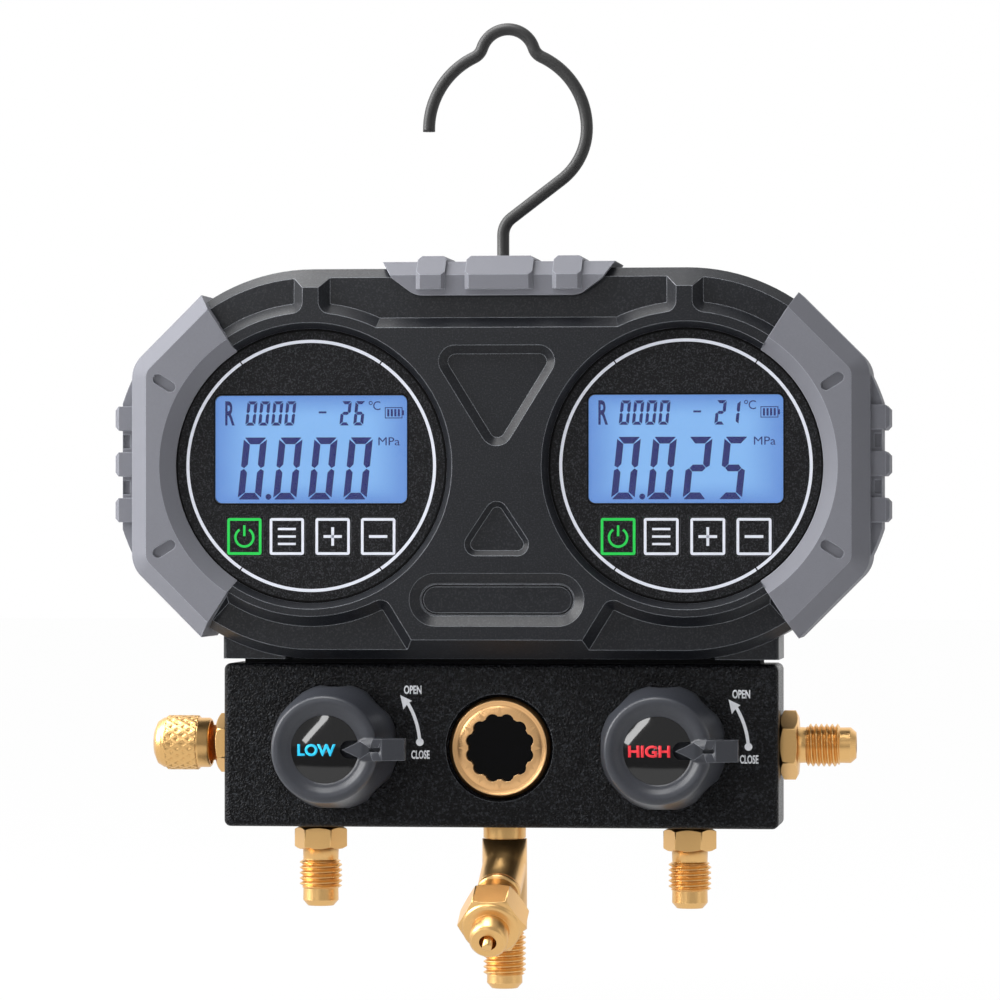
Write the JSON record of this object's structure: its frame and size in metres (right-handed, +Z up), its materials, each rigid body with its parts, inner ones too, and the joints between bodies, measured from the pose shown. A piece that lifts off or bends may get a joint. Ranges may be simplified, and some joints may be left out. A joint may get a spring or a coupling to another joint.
{
  "type": "refrigerant manifold gauge",
  "caption": "Digital refrigerant pressure gauge head on a valve manifold block with flare ports, sight glass, bleed valve, turning knobs and a swivelling hanging hook.",
  "frame": {"origin": "inside top of the hook's small arch, the point that the gauge hangs from", "axes": "+X to the right seen from the front, +Y to the back, +Z up; the displays face -Y"},
  "size_m": [0.2018, 0.0483, 0.2518],
  "materials": {
    "housing_plastic": "fine-textured satin black",
    "bumper_rubber": "satin grey soft-touch",
    "faceplate_film": "pebbled black film",
    "lens_clear": "clear polished",
    "lcd_glass": "backlit blue",
    "board_laminate": "solder-masked green",
    "key_film": "pebbled black film with printed frame",
    "screw_steel": "zinc-plated",
    "battery_jacket": "printed jacket",
    "contact_steel": "nickel-plated",
    "block_paint": "black wrinkle powder coat",
    "gasket_rubber": "matt",
    "brass": "turned satin",
    "seal_rubber": "matt",
    "seat_plastic": "waxy white",
    "knob_plastic": "satin dark grey",
    "cap_plastic": "domed gloss black",
    "sight_glass": "dark glass",
    "hook_coating": "gloss black coating",
    "bush_steel": "turned",
    "sensor_steel": "stainless",
    "spring_steel": "bright wire"
  },
  "bodies": {
    "gauge": {"ball_seats": "seat_plastic", "base_gasket": "gasket_rubber", "batteries": "battery_jacket", "battery_contacts": "contact_steel", "bleed_spring": "spring_steel", "bleed_valve_body": "brass", "block_screws": "screw_steel", "board_screws": "screw_steel", "centre_port": "brass", "front_shell": "housing_plastic", "high_hose_port": "brass", "high_pressure_sensor": "sensor_steel", "high_valve_bonnet": "brass", "hook_bush": "bush_steel", "housing_screws": "screw_steel", "left_bumper": "bumper_rubber", "left_circuit_board": "board_laminate", "left_faceplate": "faceplate_film", "left_lcd_lens": "lens_clear", "left_lcd_panel": "lcd_glass", "left_side_port": "brass", "low_hose_port": "brass", "low_pressure_sensor": "sensor_steel", "low_valve_bonnet": "brass", "manifold_block": "block_paint", "rear_shell": "housing_plastic", "right_bumper": "bumper_rubber", "right_circuit_board": "board_laminate", "right_faceplate": "faceplate_film", "right_lcd_lens": "lens_clear", "right_lcd_panel": "lcd_glass", "right_side_port": "brass", "sight_glass": "sight_glass", "sight_glass_ring": "brass", "sight_glass_seal": "seal_rubber", "spindle_seals": "seal_rubber", "top_bumper": "bumper_rubber"},
    "low_valve": {"low_knob": "knob_plastic", "low_knob_cap": "cap_plastic", "low_knob_screw": "screw_steel", "low_valve_spindle": "brass"},
    "high_valve": {"high_knob": "knob_plastic", "high_knob_cap": "cap_plastic", "high_knob_screw": "screw_steel", "high_valve_spindle": "brass"},
    "left_power_button": {"left_power_key": "key_film"},
    "left_menu_button": {"left_menu_key": "key_film"},
    "left_plus_button": {"left_plus_key": "key_film"},
    "left_minus_button": {"left_minus_key": "key_film"},
    "right_power_button": {"right_power_key": "key_film"},
    "right_menu_button": {"right_menu_key": "key_film"},
    "right_plus_button": {"right_plus_key": "key_film"},
    "right_minus_button": {"right_minus_key": "key_film"},
    "hanging_hook": {"hook": "hook_coating"},
    "push_pin": {"bleed_pin": "brass"},
    "side_port_cap": {"port_cap": "brass", "port_cap_seal": "seal_rubber"},
    "battery_door": {"battery_cover": "housing_plastic"}
  },
  "joints": [
    {"name": "low_valve_turn", "type": "hinge", "parent": "gauge", "child": "low_valve", "pos_m": [-0.0427, -0.02, -0.1852], "axis": [0, -1, 0], "range_deg": [0, 90]},
    {"name": "high_valve_turn", "type": "hinge", "parent": "gauge", "child": "high_valve", "pos_m": [0.0427, -0.02, -0.1852], "axis": [0, -1, 0], "range_deg": [0, 90]},
    {"name": "left_power_press", "type": "slide", "parent": "gauge", "child": "left_power_button", "axis": [0, 1, 0], "range_m": [0, 0.0004], "stiffness_N_per_m": 900, "springref_m": -0.0003},
    {"name": "left_menu_press", "type": "slide", "parent": "gauge", "child": "left_menu_button", "axis": [0, 1, 0], "range_m": [0, 0.0004], "stiffness_N_per_m": 900, "springref_m": -0.0003},
    {"name": "left_plus_press", "type": "slide", "parent": "gauge", "child": "left_plus_button", "axis": [0, 1, 0], "range_m": [0, 0.0004], "stiffness_N_per_m": 900, "springref_m": -0.0003},
    {"name": "left_minus_press", "type": "slide", "parent": "gauge", "child": "left_minus_button", "axis": [0, 1, 0], "range_m": [0, 0.0004], "stiffness_N_per_m": 900, "springref_m": -0.0003},
    {"name": "right_power_press", "type": "slide", "parent": "gauge", "child": "right_power_button", "axis": [0, 1, 0], "range_m": [0, 0.0004], "stiffness_N_per_m": 900, "springref_m": -0.0003},
    {"name": "right_menu_press", "type": "slide", "parent": "gauge", "child": "right_menu_button", "axis": [0, 1, 0], "range_m": [0, 0.0004], "stiffness_N_per_m": 900, "springref_m": -0.0003},
    {"name": "right_plus_press", "type": "slide", "parent": "gauge", "child": "right_plus_button", "axis": [0, 1, 0], "range_m": [0, 0.0004], "stiffness_N_per_m": 900, "springref_m": -0.0003},
    {"name": "right_minus_press", "type": "slide", "parent": "gauge", "child": "right_minus_button", "axis": [0, 1, 0], "range_m": [0, 0.0004], "stiffness_N_per_m": 900, "springref_m": -0.0003},
    {"name": "hook_swivel", "type": "hinge", "parent": "gauge", "child": "hanging_hook", "pos_m": [0, 0, -0.06], "axis": [0, 0, 1], "continuous": true},
    {"name": "bleed_pin_push", "type": "slide", "parent": "gauge", "child": "push_pin", "axis": [0.0299, 0.8566, 0.515], "range_m": [0, 0.0015], "stiffness_N_per_m": 700, "springref_m": -0.001},
    {"name": "port_cap_off", "type": "slide", "parent": "gauge", "child": "side_port_cap", "axis": [-1, 0, 0], "range_m": [0, 0.016]},
    {"name": "battery_cover_off", "type": "slide", "parent": "gauge", "child": "battery_door", "axis": [0, 1, 0], "range_m": [0, 0.012]}
  ]
}
